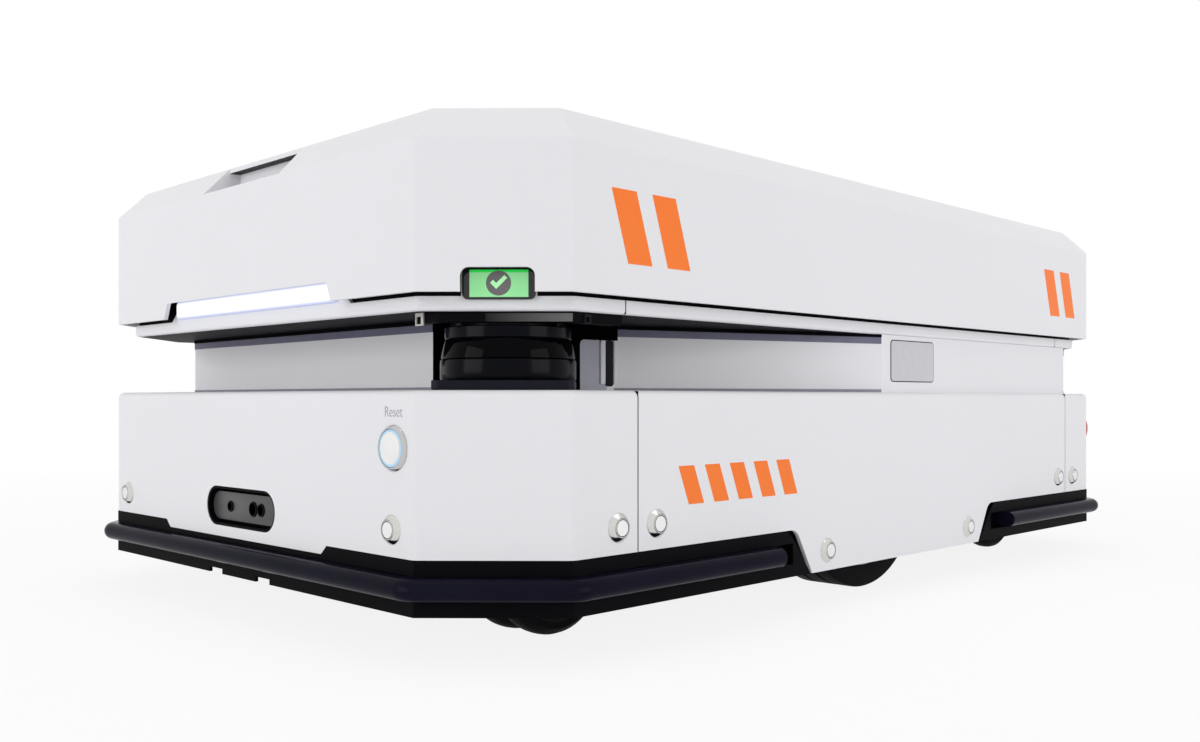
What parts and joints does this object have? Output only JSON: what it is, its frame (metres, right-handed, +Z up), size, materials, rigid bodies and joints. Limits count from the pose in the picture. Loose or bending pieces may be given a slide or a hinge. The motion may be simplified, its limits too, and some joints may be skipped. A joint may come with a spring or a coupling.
{
  "type": "autonomous mobile robot",
  "caption": "Low eight-sided transport robot with a lifting deck, corner scanners in a side slot, rubber bumpers, sprung drive wheels and twin casters.",
  "frame": {"origin": "on the floor, at the centre of the footprint", "axes": "+X forward, to the end with the depth camera; +Y to the robot's left; +Z up"},
  "size_m": [1.232, 0.778, 0.45],
  "materials": {
    "cover_white": "satin moulded plastic, fine texture",
    "trim_black": "satin black moulded plastic",
    "bumper_rubber": "smooth blue-black rubber",
    "frame_steel": "black powder coat",
    "arm_iron": "painted casting",
    "zinc_steel": "zinc plated pressing",
    "ground_steel": "ground and hardened",
    "motor_alloy": "anodised housing",
    "battery_case": "coated case",
    "buffer_urethane": "cast polyurethane",
    "drive_tyre": "polyurethane tyre on a cast hub",
    "caster_tread": "dark polyurethane tread",
    "scanner_case": "gloss navy-black housing",
    "scanner_lens": "dark optical window",
    "light_lens": "lit white diffuser",
    "screen_green": "lit display glass",
    "chrome_trim": "polished",
    "button_cap": "satin cap with a lit ring",
    "stop_red": "red mushroom head"
  },
  "bodies": {
    "chassis": {"battery_pack": "battery_case", "caster_plates": "frame_steel", "chassis_frame": "frame_steel", "control_unit": "motor_alloy", "depth_camera": "trim_black", "display_housing": "trim_black", "display_screen": "screen_green", "front_bumper": "bumper_rubber", "front_collar": "cover_white", "front_cover": "cover_white", "front_light_bar": "light_lens", "front_scanner_body": "scanner_case", "front_scanner_window": "scanner_lens", "front_skirt": "trim_black", "front_waist_panel": "cover_white", "left_collar": "cover_white", "left_cover": "cover_white", "left_spring": "buffer_urethane", "lift_motors": "motor_alloy", "rear_bumper": "bumper_rubber", "rear_collar": "cover_white", "rear_cover": "cover_white", "rear_light_bar": "light_lens", "rear_scanner_body": "scanner_case", "rear_scanner_window": "scanner_lens", "rear_skirt": "trim_black", "rear_waist_panel": "cover_white", "reset_bezel": "chrome_trim", "right_collar": "cover_white", "right_cover": "cover_white", "right_spring": "buffer_urethane", "soffit_plate": "trim_black", "stop_button_base": "trim_black", "upper_tub": "trim_black"},
    "lift": {"deck_cover": "cover_white", "lift_frame": "frame_steel", "guide_rods": "ground_steel"},
    "front_screw": {"front_lift_screw": "ground_steel"},
    "rear_screw": {"rear_lift_screw": "ground_steel"},
    "left_arm": {"left_drive_arm": "arm_iron", "left_gearmotor": "motor_alloy"},
    "right_arm": {"right_drive_arm": "arm_iron", "right_gearmotor": "motor_alloy"},
    "left_wheel": {"left_drive_wheel": "drive_tyre"},
    "right_wheel": {"right_drive_wheel": "drive_tyre"},
    "reset_cap": {"reset_button": "button_cap"},
    "stop_head": {"stop_button": "stop_red"},
    "front_left_swivel": {"front_left_fork": "zinc_steel"},
    "front_left_roll_left": {"front_left_caster_left_wheel": "caster_tread"},
    "front_left_roll_right": {"front_left_caster_right_wheel": "caster_tread"},
    "front_right_swivel": {"front_right_fork": "zinc_steel"},
    "front_right_roll_left": {"front_right_caster_left_wheel": "caster_tread"},
    "front_right_roll_right": {"front_right_caster_right_wheel": "caster_tread"},
    "rear_left_swivel": {"rear_left_fork": "zinc_steel"},
    "rear_left_roll_left": {"rear_left_caster_left_wheel": "caster_tread"},
    "rear_left_roll_right": {"rear_left_caster_right_wheel": "caster_tread"},
    "rear_right_swivel": {"rear_right_fork": "zinc_steel"},
    "rear_right_roll_left": {"rear_right_caster_left_wheel": "caster_tread"},
    "rear_right_roll_right": {"rear_right_caster_right_wheel": "caster_tread"}
  },
  "joints": [
    {"name": "deck_lift", "type": "slide", "parent": "chassis", "child": "lift", "axis": [0, 0, 1], "range_m": [0, 0.06]},
    {"name": "front_screw_turn", "type": "hinge", "parent": "chassis", "child": "front_screw", "pos_m": [0.36, 0, 0.226], "axis": [0, 0, 1], "range_deg": [-1080, 0]},
    {"name": "rear_screw_turn", "type": "hinge", "parent": "chassis", "child": "rear_screw", "pos_m": [-0.36, 0, 0.226], "axis": [0, 0, 1], "range_deg": [-1080, 0]},
    {"name": "left_suspension", "type": "hinge", "parent": "chassis", "child": "left_arm", "pos_m": [-0.175, 0.243, 0.11], "axis": [0, 1, 0], "range_deg": [-2.5, 2.5], "stiffness_Nm_per_rad": 4000, "springref_deg": -0.23, "deforming": ["left_spring"]},
    {"name": "left_wheel_turn", "type": "hinge", "parent": "left_arm", "child": "left_wheel", "pos_m": [0, 0.294, 0.125], "axis": [0, 1, 0], "continuous": true},
    {"name": "right_suspension", "type": "hinge", "parent": "chassis", "child": "right_arm", "pos_m": [-0.175, -0.243, 0.11], "axis": [0, 1, 0], "range_deg": [-2.5, 2.5], "stiffness_Nm_per_rad": 4000, "springref_deg": -0.23, "deforming": ["right_spring"]},
    {"name": "right_wheel_turn", "type": "hinge", "parent": "right_arm", "child": "right_wheel", "pos_m": [0, -0.294, 0.125], "axis": [0, 1, 0], "continuous": true},
    {"name": "front_left_swivel_turn", "type": "hinge", "parent": "chassis", "child": "front_left_swivel", "pos_m": [0.4625, 0.242, 0.13], "axis": [0, 0, 1], "continuous": true},
    {"name": "front_left_left_roll", "type": "hinge", "parent": "front_left_swivel", "child": "front_left_roll_left", "pos_m": [0.4325, 0.262, 0.0625], "axis": [0, 1, 0], "continuous": true},
    {"name": "front_left_right_roll", "type": "hinge", "parent": "front_left_swivel", "child": "front_left_roll_right", "pos_m": [0.4325, 0.222, 0.0625], "axis": [0, 1, 0], "continuous": true},
    {"name": "front_right_swivel_turn", "type": "hinge", "parent": "chassis", "child": "front_right_swivel", "pos_m": [0.4625, -0.242, 0.13], "axis": [0, 0, 1], "continuous": true},
    {"name": "front_right_left_roll", "type": "hinge", "parent": "front_right_swivel", "child": "front_right_roll_left", "pos_m": [0.4325, -0.222, 0.0625], "axis": [0, 1, 0], "continuous": true},
    {"name": "front_right_right_roll", "type": "hinge", "parent": "front_right_swivel", "child": "front_right_roll_right", "pos_m": [0.4325, -0.262, 0.0625], "axis": [0, 1, 0], "continuous": true},
    {"name": "rear_left_swivel_turn", "type": "hinge", "parent": "chassis", "child": "rear_left_swivel", "pos_m": [-0.4625, 0.242, 0.13], "axis": [0, 0, 1], "continuous": true},
    {"name": "rear_left_left_roll", "type": "hinge", "parent": "rear_left_swivel", "child": "rear_left_roll_left", "pos_m": [-0.4325, 0.262, 0.0625], "axis": [0, 1, 0], "continuous": true},
    {"name": "rear_left_right_roll", "type": "hinge", "parent": "rear_left_swivel", "child": "rear_left_roll_right", "pos_m": [-0.4325, 0.222, 0.0625], "axis": [0, 1, 0], "continuous": true},
    {"name": "rear_right_swivel_turn", "type": "hinge", "parent": "chassis", "child": "rear_right_swivel", "pos_m": [-0.4625, -0.242, 0.13], "axis": [0, 0, 1], "continuous": true},
    {"name": "rear_right_left_roll", "type": "hinge", "parent": "rear_right_swivel", "child": "rear_right_roll_left", "pos_m": [-0.4325, -0.222, 0.0625], "axis": [0, 1, 0], "continuous": true},
    {"name": "rear_right_right_roll", "type": "hinge", "parent": "rear_right_swivel", "child": "rear_right_roll_right", "pos_m": [-0.4325, -0.262, 0.0625], "axis": [0, 1, 0], "continuous": true},
    {"name": "reset_press", "type": "slide", "parent": "chassis", "child": "reset_cap", "axis": [-1, 0, 0], "range_m": [0, 0.003], "stiffness_N_per_m": 400, "springref_m": -0.003},
    {"name": "stop_press", "type": "slide", "parent": "chassis", "child": "stop_head", "axis": [0.7071, -0.7071, 0], "range_m": [0, 0.004]}
  ],
  "couplings": [
    {"joint": "front_screw_turn", "follows": "deck_lift", "rad_per_m": -314.16},
    {"joint": "rear_screw_turn", "follows": "deck_lift", "rad_per_m": -314.16}
  ]
}
